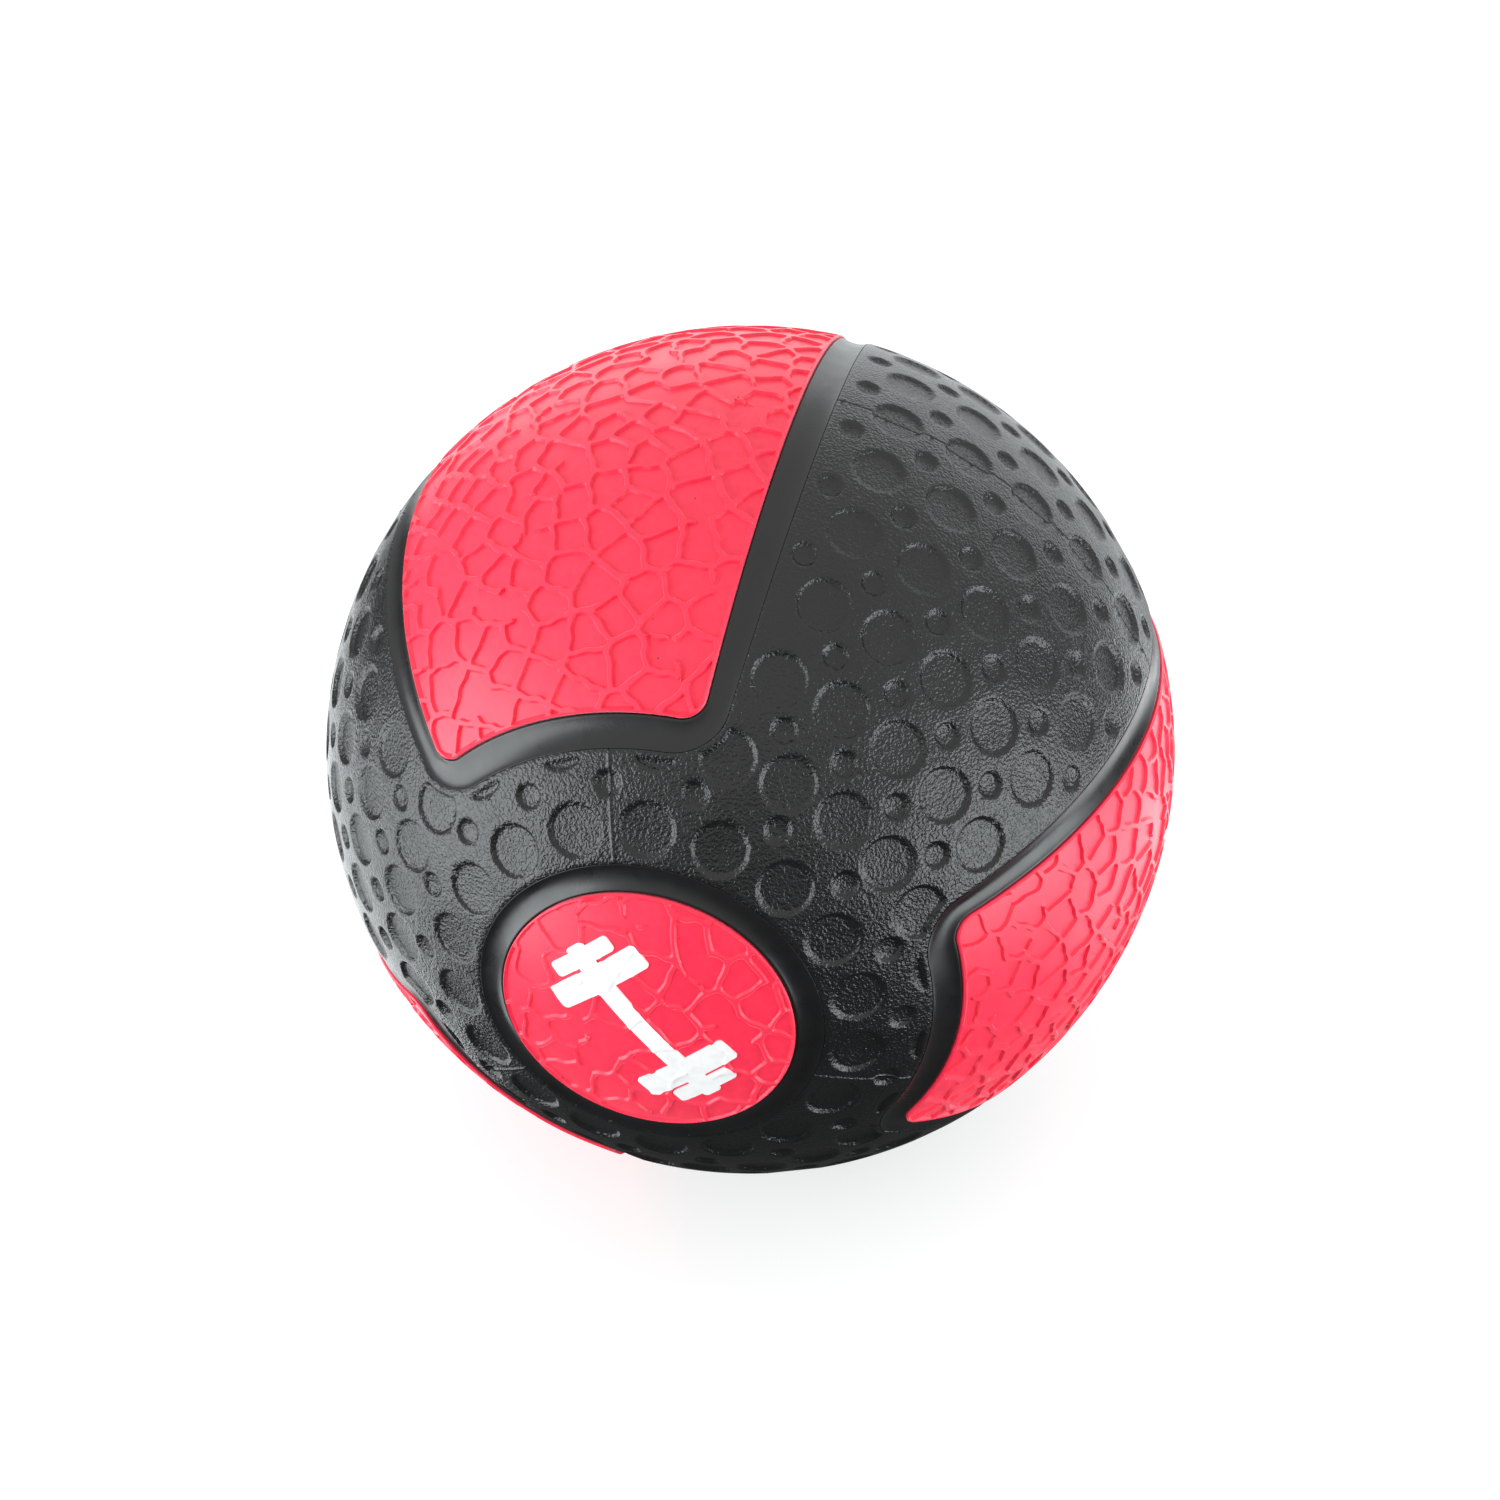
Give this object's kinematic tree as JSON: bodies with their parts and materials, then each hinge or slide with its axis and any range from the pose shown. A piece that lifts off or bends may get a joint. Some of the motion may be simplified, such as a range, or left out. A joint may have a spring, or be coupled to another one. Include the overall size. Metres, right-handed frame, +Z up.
{
  "type": "medicine ball",
  "caption": "Round rubber medicine ball with raised crackled panels, dimpled grip panels between them, smooth recessed channels and a round badge at each pole.",
  "frame": {"origin": "centre of the ball", "axes": "-Y out through the middle of the front badge, +Y out through the rear badge, +Z up, +X to the right as seen from the front"},
  "size_m": [0.2298, 0.2314, 0.2298],
  "materials": {
    "red_rubber": "matt moulded, crackle relief",
    "grained_black_rubber": "satin, leather grain and dimples",
    "smooth_black_rubber": "satin, smooth moulded",
    "weighted_rubber": "matt, as pressed",
    "nylon_thread": "wound thread",
    "butyl_rubber": "matt, dusted",
    "white_ink": "flexible print, matt"
  },
  "bodies": {
    "root": {"bladder": "butyl_rubber", "nylon_winding": "nylon_thread", "carcass_front_half": "weighted_rubber", "carcass_rear_half": "weighted_rubber", "valve_housing": "smooth_black_rubber", "valve_plug": "butyl_rubber", "red_panel_top": "red_rubber", "red_panel_left": "red_rubber", "red_panel_right": "red_rubber", "channel_strip_top": "smooth_black_rubber", "channel_strip_left": "smooth_black_rubber", "channel_strip_right": "smooth_black_rubber", "black_panel_left": "grained_black_rubber", "black_panel_bottom": "grained_black_rubber", "black_panel_right": "grained_black_rubber", "badge_disc_front": "red_rubber", "badge_disc_rear": "red_rubber", "badge_ring_front": "smooth_black_rubber", "badge_ring_rear": "smooth_black_rubber", "badge_mark_front": "white_ink", "badge_mark_rear": "white_ink"}
  },
  "joints": []
}
